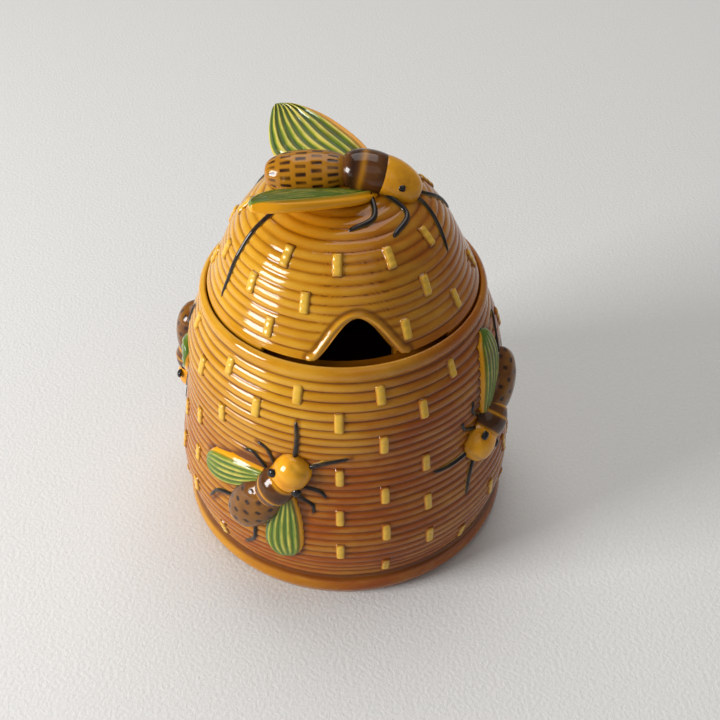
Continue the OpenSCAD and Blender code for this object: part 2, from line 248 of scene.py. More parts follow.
def sheet(points, wrap=False, **marks):
    """A grid of points with its faces, and its marks spread over the grid."""
    grid = points.shape[:2]
    return points, quads(*grid, wrap=wrap), {key: np.broadcast_to(v, grid) for key, v in marks.items()}


def join_parts(parts):
    """Stacks (points, faces, marks) parts into one."""
    points, faces, marks, n = [], [], {}, 0
    for p, f, m in parts:
        points.append(p.reshape(-1, 3))
        faces.extend((f + n).tolist())
        for key, v in m.items():
            marks.setdefault(key, []).append(v.ravel())
        n += len(points[-1])
    return np.concatenate(points), faces, {k: np.concatenate(v) for k, v in marks.items()}


def ringed_mesh(name, turn, rows):
    """A skin round the Z axis through rows of (radius, height, pooled glaze and painted shade, crest)."""
    r, z, pool, crest = (np.array([np.broadcast_to(row[i], turn.shape) for row in rows]) for i in range(4))
    return mesh_from(name, *sheet(around(turn, r, z), wrap=True, pool=pool, crest=crest))


def add_piece(name, mesh, material, body, nodes):
    """Links a piece that rides on a body and replaces its nodes."""
    piece = bpy.data.objects.new(name, mesh)
    bpy.context.scene.collection.objects.link(piece)
    piece.data.materials.clear()
    piece.data.materials.append(material)
    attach(piece, body)
    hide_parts(*nodes)


# Shader arithmetic

class Socket:
    """A shader value that takes part in Python arithmetic."""

    def __init__(self, glaze, link):
        self.glaze, self.link = glaze, link

    def _math(self, op, *others):
        return self.glaze.math(op, self, *others)

    def __add__(self, o): return self._math("ADD", o)
    def __radd__(self, o): return self._math("ADD", o)
    def __sub__(self, o): return self._math("SUBTRACT", o)
    def __rsub__(self, o): return self.glaze.math("SUBTRACT", o, self)
    def __mul__(self, o): return self._math("MULTIPLY", o)
    def __rmul__(self, o): return self._math("MULTIPLY", o)


class Glaze:
    """A material under construction."""

    def __init__(self, name):
        self.material = bpy.data.materials.new(name)
        self.material.use_nodes = True
        self.tree = self.material.node_tree
        self.shader = self.tree.nodes["Principled BSDF"]

    def node(self, kind, inputs=None, **settings):
        """Adds any node with its settings and inputs; a Socket is linked, anything else is set."""
        node = self.tree.nodes.new(kind)
        for key, value in settings.items():
            setattr(node, key, value)
        for key, value in (inputs or {}).items():
            self.feed(node.inputs[key], value)
        return node

    def feed(self, socket, value):
        """Links a Socket; sets anything else, and a colour with its alpha."""
        if isinstance(value, Socket):
            self.tree.links.new(value.link, socket)
        elif socket.type == "RGBA":
            socket.default_value = (*value, 1.0)
        else:
            socket.default_value = value

    def math(self, op, *values, clamp=False):
        node = self.node("ShaderNodeMath", operation=op, use_clamp=clamp)
        for socket, value in zip(node.inputs, values):
            self.feed(socket, value)
        return Socket(self, node.outputs[0])

    def clamp(self, value):
        return self.math("ADD", value, 0.0, clamp=True)

    def ramp(self, value, low, high):
        """Eases from 0 to 1 as value goes from low to high."""
        node = self.node("ShaderNodeMapRange", interpolation_type="SMOOTHSTEP",
                         inputs={"Value": value, "From Min": low, "From Max": high})
        return Socket(self, node.outputs["Result"])

    def mark(self, name):
        return Socket(self, self.node("ShaderNodeAttribute", attribute_name=name).outputs["Fac"])

    def place(self):
        return Socket(self, self.node("ShaderNodeTexCoord").outputs["Object"])

    def place_xyz(self):
        node = self.node("ShaderNodeSeparateXYZ", inputs={"Vector": self.place()})
        return [Socket(self, output) for output in node.outputs]

    def noise(self, scale, detail=2.0, rough=0.5, stretch=(1, 1, 1), shift=(0, 0, 0)):
        mapping = self.node("ShaderNodeMapping",
                            inputs={"Vector": self.place(), "Scale": stretch, "Location": shift})
        node = self.node("ShaderNodeTexNoise", inputs={"Vector": Socket(self, mapping.outputs[0]),
                                                       "Scale": scale, "Detail": detail, "Roughness": rough})
        return Socket(self, node.outputs["Fac"])

    def mix(self, factor, a, b):
        """Colour a, going over to b as the factor goes from 0 to 1."""
        node = self.node("ShaderNodeMix", data_type="RGBA", clamp_factor=True)
        for socket, value in ((node.inputs[0], factor), (node.inputs[6], a), (node.inputs[7], b)):
            self.feed(socket, value)
        return Socket(self, node.outputs[2])

    def finish(self, colour, roughness, bump, bump_depth=0.0002, coat=COAT):
        inputs = self.shader.inputs
        self.feed(inputs["Base Color"], colour)
        self.feed(inputs["Roughness"], roughness)
        inputs["IOR"].default_value = GLAZE_IOR
        inputs["Specular IOR Level"].default_value = SPECULAR
        inputs["Coat Weight"].default_value = coat
        inputs["Coat Roughness"].default_value = COAT_ROUGHNESS
        node = self.node("ShaderNodeBump", inputs={"Height": bump, "Distance": bump_depth,
                                                   "Strength": BUMP_STRENGTH})
        self.tree.links.new(node.outputs[0], inputs["Normal"])
        return self.material


def honey_glaze(settings):
    """Amber majolica glaze: pale where it thins on the coils, brown where it pools, and painted shade
    darkening its right side.
    """
    g = Glaze("honey glaze")
    pool, crest = g.mark("pool"), g.mark("crest")
    drift = g.noise(14.0, 3.0, 0.6, stretch=(1, 1, 1.6))
    speck = g.noise(300.0, 3.0, 0.7)
    streak = g.noise(55.0, 3.0, 0.6, stretch=(1, 1, 3.5), shift=(5, 1, 0)) - 0.5
    x, y, z = g.place_xyz()
    low = g.ramp(z, DEEP_HIGH, DEEP_LOW)
    # Painted shade: the glaze darkens across the pot towards its right side, away from the window lamp
    side = g.ramp(x * 0.9 - y * 0.2, SHADE_START, SHADE_END)
    foot = g.ramp(z, FOOT_PALE_HIGH, FOOT_PALE_LOW)
    # How far the glaze goes to deep honey: its drift, darker towards the bottom, the painted shade on the
    # right, paler on the foot band
    deep = g.clamp(drift * 1.6 - 0.85 + low * 0.95 + side * 0.9 - foot * 0.55)
    # Coils lose their pale crests where the glaze is deep and where shade is painted, and stitches keep
    # theirs
    thin = crest * (1.0 - 0.75 * deep * (1.0 - g.ramp(crest, 0.5, 0.75)))
    body = g.mix(deep, settings.honey, settings.honey_deep)
    body = g.mix(g.clamp(thin + speck * 0.2 + streak * 0.9 - 0.08), body, settings.straw)
    body = g.mix(g.clamp(pool * 1.15 + speck * 0.3 - 0.6 * streak - 0.2), body, settings.groove)
    return g.finish(body, 0.06 + 0.08 * speck, g.noise(120.0, 2.0) + 0.3 * speck, 0.00025)


def painted_glaze(name, base, deep, high):
    """A brushed colour glaze that breaks to a paler tone on raised edges."""
    g = Glaze(name)
    pool, crest = g.mark("pool"), g.mark("crest")
    blot = g.noise(160.0, 3.0, 0.65)
    wash = g.noise(45.0, 2.0, 0.5, shift=(3, 1, 2))
    body = g.mix(g.clamp(wash * 1.6 - 0.45), base, deep)
    body = g.mix(g.clamp(crest + 0.35 * (blot - 0.5)), body, high)
    body = g.mix(g.clamp(pool + 0.3 * (blot - 0.5)), body, [c * 0.35 for c in deep])
    return g.finish(body, 0.1 + 0.1 * blot, blot)


def eye_glaze(settings):
    """Amber glaze of the heads, with black eyes."""
    g = Glaze("amber glaze")
    eye, pool, crest = g.mark("eye"), g.mark("pool"), g.mark("crest")
    blot = g.noise(220.0, 3.0, 0.65)
    body = g.mix(g.clamp(blot * 1.3 - 0.5), settings.amber, settings.honey_deep)
    body = g.mix(g.clamp(pool * 0.9), body, settings.groove)
    body = g.mix(g.clamp(crest), body, settings.straw)
    body = g.mix(eye, body, PUPIL)
    return g.finish(body, 0.1 + 0.08 * blot, blot, 0.00015)


def wing_glaze(settings):
    """Green glaze of the wings, dark between pale ribs, with brown blots and an amber leading edge."""
    g = Glaze("leaf glaze")
    lead, pool, crest = g.mark("lead"), g.mark("pool"), g.mark("crest")
    blot = g.noise(170.0, 3.0, 0.6)
    wash = g.noise(70.0, 2.0, 0.5, shift=(1, 5, 2))
    stain = g.noise(95.0, 2.0, 0.5, shift=(2, 2, 7))
    body = g.mix(g.clamp(wash * 1.8 - 0.5), settings.leaf, settings.leaf_deep)
    body = g.mix(g.clamp(pool * 1.1 + 0.9 * (blot - 0.5)), body, settings.leaf_dark)
    body = g.mix(g.clamp(crest * 1.1 + 1.6 * (blot - 0.6)), body, settings.leaf_pale)
    body = g.mix(g.clamp(2.6 * (stain - 0.58)), body, settings.umber)
    body = g.mix(g.clamp(lead), body, settings.amber)
    return g.finish(body, 0.1 + 0.08 * blot, blot)


# The pot

def foot_rows():
    """Rows of (radius, height, pooled glaze and painted shade, crest) across the base and up the foot band.
    """
    rows = [(0.0, RECESS_H, 0.4, 0), (40.0, RECESS_H, 0.6, 0), (41.0, 1.2, 0.5, 0), (41.6, 0.3, 0.3, 0),
            (42.5, 0.0, 0.1, 0), (46.0, 0.0, 0.1, 0)]
    for a in np.linspace(0, 160, 14):
        rows.append((FOOT_R - 1.5 + 1.5 * math.sin(math.radians(a)), FOOT_H * a / 180 + 0.25 * (a == 0),
                     0.05 + 0.7 * step(130, 160, a), 0))
    return rows


def collar_rows():
    """Rows up the rounded collar over the coils."""
    rows = []
    for a in np.linspace(0, 150, 10):
        z = WALL_TOP + (POT_H - WALL_TOP) * a / 180
        s = math.sin(math.radians(a))
        pool = 0.9 * (1 - step(0, 0.4, s)) * (a < 60)
        rows.append((wall_radius(z) + COLLAR_RISE * s - 0.3, z, pool, 0.35 * s))
    return rows


def inside_rows():
    """Rows over the mouth, round the lid's seat and down the inside."""
    # The lid's seat and the inside are darker than the outside: painted shade in the mouth
    rows = [(MOUTH_R - 0.35, POT_H - 0.12, 0, 0.4), (MOUTH_R - 0.75, POT_H - 0.02, 0, 0.3),
            (SEAT_R + 0.2, POT_H - 0.25, 0.3, 0), (SEAT_R, POT_H - 0.7, 0.7, 0), (SEAT_R, SEAT_Z, 0.9, 0),
            (OPEN_R + 0.4, SEAT_Z, 0.5, 0), (OPEN_R, SEAT_Z - 0.4, 0.3, 0), (OPEN_R, 73.5, 0.3, 0),
            (OPEN_R + 1.2, 72.0, 0.4, 0)]
    rows += [(wall_radius(z) - WALL_T, z, 0.45, 0) for z in np.arange(62, 13, -4.0)]
    return rows + [(40.5, 8.5, 0.6, 0), (36.0, FLOOR_T, 0.7, 0), (0.0, FLOOR_T, 0.7, 0)]


def wobble(turn, k):
    """Small hand-made wander of coil k round the pot."""
    a = np.radians(turn)
    return 0.55 * np.sin(2 * a + 1.7 * k) + 0.3 * np.sin(5 * a + 2.3 * k) + 0.25 * np.sin(11 * a + 0.9 * k)


def bee_frame(bee, turn, z):
    """Where wall points lie seen from a relief bee: forwards and sideways in millimetres."""
    t0, z0, heading = BEES[bee]
    x = np.radians((turn - t0 + 540) % 360 - 180) * wall_radius(z)
    y = z - z0
    h = math.radians(heading)
    return x * math.cos(h) + y * math.sin(h), y * math.cos(h) - x * math.sin(h)


def off_line(px, py, a, b):
    """Distance of points from the line between a and b."""
    ax, ay = a
    dx, dy = b[0] - ax, b[1] - ay
    t = np.clip(((px - ax) * dx + (py - ay) * dy) / (dx * dx + dy * dy), 0, 1)
    return np.hypot(px - ax - t * dx, py - ay - t * dy)


def off_limbs(px, py, limbs):
    """Distance of points from the nearest of some bent limbs."""
    return np.min([off_line(px, py, a, b) for path in limbs for a, b in zip(path, path[1:])], 0)


def bee_shadow(turn, z):
    """How dark the wall is painted against the relief bees: pooled glaze and painted shade."""
    pool = np.zeros(np.broadcast(turn, z).shape)
    for bee in BEES:
        p, q = bee_frame(bee, turn, z)
        q = np.abs(q)
        body = np.maximum(off_line(p, q, *BODY_LINE) - BODY_HALF, 0)
        wing = np.maximum(off_line(p, q, *WING_LINE) - WING_HALF, 0)
        near = np.minimum(np.minimum(body, wing), off_limbs(p, q, LEGS) * 1.4)
        # Pooled glaze and painted shade fall off away from each bee
        pool = np.maximum(pool, 0.9 * bell(near, 0, POOL_AND_SHADE_REACH))
    return pool


def pot_wall_mesh(cols=384, per_coil=7):
    turn = np.arange(cols) * 360.0 / cols
    rows = foot_rows()
    for k in range(POT_COILS):
        for t in np.arange(per_coil) / per_coil:
            lift = rope(t)
            z = FOOT_H + (k + t) * COIL_PITCH + POT_WANDER_Z * wobble(turn, k) * lift
            r = wall_radius(z) + POT_COIL_RISE * (lift - 0.5) + POT_WANDER_R * wobble(turn * 2, k + 5) * lift
            shade = bee_shadow(turn, z)
            pool, crest = coil_marks(lift)
            rows.append((r, z, np.maximum(pool, shade), crest * (1 - shade)))
    return ringed_mesh("pot wall", turn, rows + collar_rows() + inside_rows())


def stitch_mesh(length=6.2, width=2.9, height=1.0, sink=0.45):
    """One binding stitch: a soft bar that sits across three coils, along Y, rising along Z."""
    s, t = np.linspace(-1, 1, 15)[:, None], np.linspace(-1, 1, 13)[None, :]
    end = np.maximum(0, 1 - np.abs(s) ** 6) ** 0.5
    x = t * width / 2 * (0.82 + 0.18 * end)
    h = height * end * np.maximum(0, 1 - np.abs(t) ** 2.6) ** 0.5
    z = h + 0.1 * np.cos(3 * math.pi * s) * h - sink
    points = np.stack([x, np.broadcast_to(s * length / 2, x.shape), z], -1)
    return mesh_from("stitch", *sheet(points, pool=1.0 - step(0.0, 0.55, h / height),
                                      crest=np.clip(h / height, 0, 1) ** 1.5))


def scatter(name, places, stitch, material):
    """Sets a copy of stitch on each (point, rotation) place with a Geometry Nodes tree, as a plain mesh."""
    cloud = bpy.data.meshes.new(name + " places")
    cloud.from_pydata([tuple(np.asarray(p) * MM) for p, _ in places], [], [])
    facing = cloud.attributes.new("facing", "FLOAT_VECTOR", "POINT")
    facing.data.foreach_set("vector", np.array([f for _, f in places], np.float32).ravel())
    tree = bpy.data.node_groups.new(name, "GeometryNodeTree")
    face = tree.interface
    face.new_socket("Geometry", in_out="INPUT", socket_type="NodeSocketGeometry")
    face.new_socket("Stitch", in_out="INPUT", socket_type="NodeSocketObject")
    face.new_socket("Size", in_out="INPUT", socket_type="NodeSocketFloat").default_value = 1.0
    face.new_socket("Glaze", in_out="INPUT", socket_type="NodeSocketMaterial")
    face.new_socket("Geometry", in_out="OUTPUT", socket_type="NodeSocketGeometry")
    entry, leave = tree.nodes.new("NodeGroupInput"), tree.nodes.new("NodeGroupOutput")
    info = tree.nodes.new("GeometryNodeObjectInfo")
    turn = tree.nodes.new("GeometryNodeInputNamedAttribute")
    turn.data_type = "FLOAT_VECTOR"
    turn.inputs["Name"].default_value = "facing"
    onto = tree.nodes.new("GeometryNodeInstanceOnPoints")
    real = tree.nodes.new("GeometryNodeRealizeInstances")
    paint = tree.nodes.new("GeometryNodeSetMaterial")
    link = tree.links.new
    link(entry.outputs["Stitch"], info.inputs["Object"])
    link(entry.outputs["Geometry"], onto.inputs["Points"])
    link(info.outputs["Geometry"], onto.inputs["Instance"])
    link(turn.outputs["Attribute"], onto.inputs["Rotation"])
    link(entry.outputs["Size"], onto.inputs["Scale"])
    link(onto.outputs["Instances"], real.inputs["Geometry"])
    link(real.outputs["Geometry"], paint.inputs["Geometry"])
    link(entry.outputs["Glaze"], paint.inputs["Material"])
    link(paint.outputs["Geometry"], leave.inputs["Geometry"])
    source = bpy.data.objects.new("stitch", stitch)
    holder = bpy.data.objects.new(name, cloud)
    for o in (source, holder):
        bpy.context.scene.collection.objects.link(o)
    row = holder.modifiers.new("Stitches", "NODES")
    row.node_group = tree
    ids = {i.name: i.identifier for i in face.items_tree if getattr(i, "in_out", "") == "INPUT"}
    row[ids["Stitch"]] = source
    row[ids["Size"]] = 1.0
    row[ids["Glaze"]] = material
    bpy.context.view_layer.update()
    mesh = bpy.data.meshes.new_from_object(holder.evaluated_get(bpy.context.evaluated_depsgraph_get()))
    bpy.data.objects.remove(holder)
    bpy.data.objects.remove(source)
    mesh.shade_smooth()
    return mesh


def wall_lean(z):
    return np.arctan((wall_radius(z + 1) - wall_radius(z - 1)) / 2)


def clear_of_bees(turn, z):
    """Whether a pot stitch stays clear of the relief bees."""
    for bee in BEES:
        p, q = bee_frame(bee, turn, z)
        q = abs(q)
        on_body = abs(p - BODY_ROOM_MIDDLE) < BODY_ROOM_L and q < BODY_ROOM_W
        if on_body or off_line(p, q, *WING_ROOM_LINE) < WING_ROOM or off_limbs(p, q, LEGS) < LEG_ROOM:
            return False
    return True


def pot_stitch_places():
    """(point, rotation) of every stitch on the pot, in staggered rows."""
    places = []
    for k, z in enumerate(STITCH_Z):
        for i in range(STITCHES):
            turn = (i + (k % 2) / 2) * 360 / STITCHES + POT_STITCH_TURN
            if clear_of_bees(turn, z):
                point = around(turn, float(wall_radius(z)) + STITCH_LIFT, z)
                places.append((point, (math.pi / 2 + float(wall_lean(z)), 0, math.radians(turn))))
    return places


# The relief bees

def on_wall(bee, a, b, h):
    """Wraps bee points (forwards, left, height) onto the wall."""
    t0, z0, heading = BEES[bee]
    c, s = math.cos(math.radians(heading)), math.sin(math.radians(heading))
    z = z0 + a * s + b * c
    turn = t0 + np.degrees((a * c - b * s) / wall_radius(z0))
    return around(turn, wall_radius(z) + h, z)


def pod(x0, x1, width, height, blunt, n=40, m=24, sink=-1.0):
    """A half pod along x: arrays of x, y, height and 0-1 along and round."""
    a = np.linspace(0, math.pi, n)[:, None]
    x = x0 + (x1 - x0) * (1 - np.cos(a)) / 2
    swell = np.sin(a) ** blunt
    th = np.linspace(0, math.pi, m)[None, :]
    y = width * swell * np.cos(th)
    h = height * swell * np.sin(th) + sink * (1 - np.sin(th)) ** 3
    along = np.broadcast_to((x - x0) / (x1 - x0), y.shape)
    return np.broadcast_to(x, y.shape), y, h, along, np.broadcast_to(th / math.pi, y.shape)


def crown_and_rim(around_pod):
    """How near points of a half pod lie to its crown and to its rim."""
    top = np.sin(around_pod * math.pi)
    return top, 1 - step(0, 0.25, top)


def curve_through(points, n):
    """n points on a smooth curve through the given ones."""
    p = np.array(points, float)
    s = np.linspace(0, 1, len(p))
    t = np.linspace(0, 1, n)
    return np.stack([smooth_curve(np.stack([s, p[:, i]], 1), t) for i in range(p.shape[1])], 1)


def wing_sheet(lead, trail, n, m):
    """Points between the leading and the trailing edge of a wing, and 0-1 along and across it."""
    s = np.linspace(0, 1, n)[:, None]
    t = (1 - np.cos(np.linspace(0, math.pi, m)))[None, :] / 2
    lead, trail = curve_through(lead, n)[:, None, :], curve_through(trail, n)[:, None, :]
    return lead * (1 - t)[..., None] + trail * t[..., None], s, t


def relief_body(bee):
    """The spotted abdomen and the banded thorax."""
    x, y, z, al, ro = pod(*ABDOMEN, n=56, m=48)
    top, rim = crown_and_rim(ro)
    row = al * 7
    spot = (step(0.25, 0.8, np.cos(ro * 2 * math.pi * 5 + np.floor(row) * math.pi))
            * step(0.0, 0.6, np.cos((row - 0.5) * 2 * math.pi)))
    abdomen = sheet(on_wall(bee, x, y, z - 0.14 * spot * top),
                    pool=np.maximum(0.95 * spot * step(0.15, 0.3, top), rim),
                    crest=0.12 * (1 - spot) * step(0.3, 0.9, top))
    x, y, z, al, ro = pod(*THORAX, n=56, m=48)
    top, rim = crown_and_rim(ro)
    collar = bell(al, 0.16, 0.035) + bell(al, 0.42, 0.03) + bell(al, 0.84, 0.04)
    thorax = sheet(on_wall(bee, x, y, z + 0.2 * collar * top),
                   pool=np.maximum(rim, 0.5 * bell(al, 0.6, 0.12)), crest=0.75 * collar)
    return join_parts([abdomen, thorax])


def relief_head(bee):
    """The head with its mouth line and two raised eyes."""
    x, y, z, al, ro = pod(*HEAD)
    top, rim = crown_and_rim(ro)
    mouth = bell(al, 0.88, 0.05) * step(0.5, 0.9, top)
    parts = [sheet(on_wall(bee, x, y, z - 0.25 * mouth), pool=np.maximum(rim, 0.5 * mouth),
                   crest=0.3 * top * step(0.45, 0.6, al), eye=0.0)]
    x, y, z, al, ro = pod(*EYE, n=16, m=14, sink=0)
    for side in (-1, 1):
        parts.append(sheet(on_wall(bee, x, y + side * EYE_SIDE, z + EYE_UP), pool=0.0, crest=0.0, eye=1.0))
    return join_parts(parts)


def relief_wings(bee, n=44, m=46):
    """The ribbed pair of wings."""
    p, s, t = wing_sheet(WING_LEAD, WING_TRAIL, n, m)
    edge = np.maximum(0, 1 - np.abs(2 * t - 1) ** 5) ** 0.5
    tip = np.maximum(0, 1 - s ** 8) ** 0.5
    rib = np.cos(t * WING_RIBS * 2 * math.pi)
    fade = np.sin(np.clip(s * 1.15, 0, 1) * math.pi) ** 0.5
    h = 1.75 * edge * tip + 0.16 * rib * fade * edge - 0.7 * (1 - edge * tip)
    marks = {"pool": np.maximum(0.8 * step(0.4, 1, -rib) * fade, 0.8 * (1 - step(0.0, 0.45, edge * tip))),
             "crest": np.maximum(0.75 * step(0.25, 0.95, rib) * fade, 0.9 * (1 - step(0.03, 0.12, t))),
             "lead": 1 - step(0.04, 0.13, t)}
    return join_parts([sheet(on_wall(bee, p[..., 0], side * p[..., 1], h), **marks) for side in (-1, 1)])


def limb(path, radius, n=28, m=10, taper=0.75):
    """A bent round limb lying on a surface: forwards, left, height, and 0-1 from its sides to its top."""
    c = curve_through(path, n)
    d = np.gradient(c, axis=0)
    d /= np.linalg.norm(d, axis=1)[:, None]
    s = np.linspace(0, 1, n)
    w = radius * (1 - (1 - taper) * s) * np.maximum(0.05, 1 - (2 * s - 1) ** 10) ** 0.5
    th = np.linspace(0, math.pi, m)
    side = np.cos(th)[None, :] * w[:, None]
    x = c[:, 0, None] - d[:, 1, None] * side
    y = c[:, 1, None] + d[:, 0, None] * side
    h = w[:, None] * 1.5 * np.sin(th)[None, :] - 0.25 - 0.5 * (np.sin(th)[None, :] < 0.1)
    return x, y, h, np.broadcast_to(np.sin(th)[None, :], x.shape)


def relief_legs(bee):
    """The feelers, paler on their sides, and three pairs of legs."""
    parts = []
    for side in (-1, 1):
        for k, leg in enumerate(LEGS):
            radius, pale = (0.85, 0.8) if k == 0 else (0.75, 0.45)
            x, y, h, top = limb(leg, radius, m=13)
            crest = pale * (1 - step(0.2, 0.6, top))
            parts.append(sheet(on_wall(bee, x, side * y, h), pool=0.0, crest=crest))
    return join_parts(parts)


# The lid

def notch_height(x):
    """Height of the notch's edge over the rim at x millimetres from its middle."""
    return NOTCH_H * np.maximum(0, np.cos(np.clip(x / (NOTCH_W / 2), -1, 1) * math.pi / 2)) ** 1.25


def notch_gap(x, z):
    """Distance from the notch's edge to a point of the dome, seen from the front."""
    reach = NOTCH_W / 2 + 0.35
    edge_x = np.linspace(-reach, reach, 141)
    gap = np.full(np.broadcast(x, z).shape, np.inf)
    for a, b in zip(edge_x, RIM_Z + notch_height(edge_x)):
        gap = np.minimum(gap, np.hypot(x - a, z - b))
    return gap


def off_dome(u, lift):
    """Radius and height at u up the dome's profile, raised by lift."""
    r, z = dome_point(u)
    nr, nz = dome_normal(u)
    return r + nr * lift, z + nz * lift


def lid_mesh(cols=512, per_coil=7, inner_rows=20):
    """The dome with its coils, the bead round the notch, the rim, and the inside."""
    turn = (np.arange(cols) + 0.5) * 360.0 / cols - 180
    side = np.sin(np.radians(turn))
    table_u = np.linspace(0, 1, 4001)
    height = np.where(np.abs(turn) < 40, notch_height(LID_R * side), 0)
    cut = height > 0
    start = np.interp(RIM_Z + height, dome_point(table_u)[1], table_u) * cut
    front = np.abs(turn) < 60
    rows = []
    steps = LID_COILS * per_coil
    for i in range(steps, -1, -1):
        u = start + (1 - start) * i / steps
        r, z = dome_point(u)
        t = (u - LID_EDGE) / (1 - LID_EDGE) * LID_COILS
        lift = rope(t) * (u > LID_EDGE) + 0.75 * (u <= LID_EDGE)
        gap = notch_gap(r * side, z)
        bead = bell(gap, 0.8, 0.62) * front
        ditch = 0.7 * bell(gap, 2.1, 0.5) * front
        plain = 1 - bell(np.maximum(0, gap - 1.0), 0, 0.9) * front
        wander = LID_WANDER * wobble(turn, np.floor(t)) * plain * (lift > 0.2) * np.minimum(1, r / 8)
        rise = LID_COIL_RISE * (lift - 0.5) * plain + 0.6 * bead + wander
        pool, crest = coil_marks(lift)
        rows.append((*off_dome(u, rise), np.maximum(pool * plain, ditch),
                     np.maximum(crest * plain, 0.5 * bead)))
    base_r, base_z = dome_point(start)
    for f in (0.25, 0.5, 0.75, 1.0):
        rows.append((np.where(cut, base_r - LID_T * f, LID_R + 0.1 * math.cos(f * math.pi / 2)),
                     np.where(cut, base_z - 0.35 * math.sin(f * math.pi), RIM_Z + (SEAT_Z - RIM_Z) * f),
                     0.15, 0.3))
    # The inside of the dome is darker than the outside: painted shade under the lid
    inner = np.maximum(start, 0.02)
    r, z = off_dome(inner, -LID_T)
    rows.append((np.where(cut, r, SPIGOT_R - 0.2), np.where(cut, z, SEAT_Z), 0.4, 0))
    for i in range(inner_rows + 1):
        r, z = off_dome(inner + (1 - inner) * i / inner_rows, -LID_T)
        rows.append((np.maximum(0, r), z, 0.5, 0))
    return ringed_mesh("lid dome", turn, rows)


def spigot_mesh(cols=256, rounding=0.5):
    """The ring under the lid, open at the notch."""
    turn = np.linspace(SPIGOT_START, 360 - SPIGOT_START, cols)
    outer, inner, top, foot = SPIGOT_R, SPIGOT_R - SPIGOT_T, SEAT_Z + 1.4, SEAT_Z - SPIGOT_H
    profile = np.array([(outer, top), (outer, foot + rounding), (outer - rounding, foot),
                        (inner + rounding, foot), (inner, foot + rounding), (inner, top)])
    r, z = (np.repeat(profile[:, i, None], cols, 1) for i in (0, 1))
    # The ring is darker than the dome: painted shade under the lid
    points, faces, marks = sheet(around(turn, r, z), pool=0.4, crest=0.0)
    first = [i * cols for i in range(len(profile))]
    caps = [first, [i + cols - 1 for i in reversed(first)]]
    return mesh_from("lid ring", points, faces.tolist() + caps, marks)


def clear_of_feet(turn, u):
    """Whether a lid stitch stays clear of the handle bee's legs and feelers, seen from above."""
    x, y, _ = around(turn, *(float(v) for v in dome_point(u)))
    c, s = math.cos(FINIAL_YAW), math.sin(FINIAL_YAW)
    return off_limbs(x * c + y * s, abs(y * c - x * s), FEET + FEELERS) >= FOOT_ROOM


def lid_stitch_places():
    """(point, rotation) of every stitch on the lid, in staggered rows."""
    places = []
    for u, half in LID_ROWS:
        for i in range(STITCHES):
            turn = (i + half) * 360 / STITCHES + LID_STITCH_TURN
            off_notch = abs((turn + 180) % 360 - 180)
            if (off_notch > NOTCH_ROOM or u > 0.5) and clear_of_feet(turn, u):
                r, z = (float(v) for v in off_dome(u, STITCH_LIFT))
                nr, nz = (float(v) for v in dome_normal(u))
                lean = math.pi / 2 - math.atan2(nz, nr)
                places.append((around(turn, r, z), (lean, 0, math.radians(turn))))
    return places


# The handle bee

def finial(u, v, w):
    """Places handle bee points: forwards, left and up from its middle."""
    c, s = math.cos(FINIAL_YAW), math.sin(FINIAL_YAW)
    return np.stack([u * c - v * s, u * s + v * c, w + FINIAL_Z], -1)


def full_pod(x0, x1, radius, blunt, n=64, m=64):
    """A whole pod along x: arrays of x, radius, angle round and 0-1 along."""
    a = np.linspace(0, math.pi, n)[:, None]
    x = x0 + (x1 - x0) * (1 - np.cos(a)) / 2
    swell = np.sin(a) ** blunt
    th = (np.arange(m) * 2 * math.pi / m)[None, :]
    al = np.broadcast_to((x - x0) / (x1 - x0), (n, m))
    return np.broadcast_to(x, (n, m)), radius * swell, th, al


def tilted(x, z, degrees, forward, up):
    """Turns body points nose down and shifts them forwards and up."""
    c, s = math.cos(math.radians(degrees)), math.sin(math.radians(degrees))
    return forward + x * c + z * s, up - x * s + z * c


def finial_abdomen():
    """The abdomen with its rings of dashes."""
    x, rad, th, al = full_pod(*BIG_ABDOMEN, n=120, m=128)
    row = al * 5.5
    dash = (step(-0.2, 0.7, np.cos(th * 17 + np.floor(row) * 2.4))
            * step(-0.75, -0.2, np.cos((row - 0.5) * 2 * math.pi)))
    ink = dash * step(0.04, 0.12, al) * (0.75 + 0.25 * np.sin(7 * th + 3 * row))
    rr = rad * (1 - 0.02 * ink)
    px, pz = tilted(x, rr * np.sin(th), *ABDOMEN_SET)
    return sheet(finial(px, rr * np.cos(th), pz), wrap=True, pool=0.95 * ink, crest=0.38 * (1 - ink))


def finial_thorax():
    """The thorax with two dark bands and a pale collar."""
    x, rad, th, al = full_pod(*BIG_THORAX, n=80)
    band = bell(al, 0.2, 0.1) + bell(al, 0.85, 0.14)
    collar = bell(al, 0.36, 0.05)
    rr = rad * (1 + 0.012 * collar)
    px, pz = tilted(x, rr * np.sin(th), *THORAX_SET)
    return sheet(finial(px, rr * np.cos(th), pz), wrap=True, pool=0.9 * np.clip(band, 0, 1),
                 crest=0.35 * collar)


def finial_head():
    """The bowed head with its two eyes, painted darker underneath as shade."""
    x, rad, th, _ = full_pod(*BIG_HEAD)
    px, pz = tilted(x, rad * np.sin(th), *HEAD_SET)
    # Its lower half is painted darker: painted shade under the head
    parts = [sheet(finial(px, rad * np.cos(th), pz), wrap=True,
                   pool=0.6 * step(0.2, -0.7, np.sin(th)), crest=0.15, eye=0.0)]
    x, rad, th, _ = full_pod(-BIG_EYE_R, BIG_EYE_R, BIG_EYE_R, 0.5, n=18, m=18)
    forward, out, up = BIG_EYE_PLACE
    for side in (-1, 1):
        points = finial(forward + x, side * out + rad * np.cos(th) * 0.8, up + rad * np.sin(th))
        parts.append(sheet(points, wrap=True, pool=0.0, crest=0.0, eye=1.0))
    return join_parts(parts)


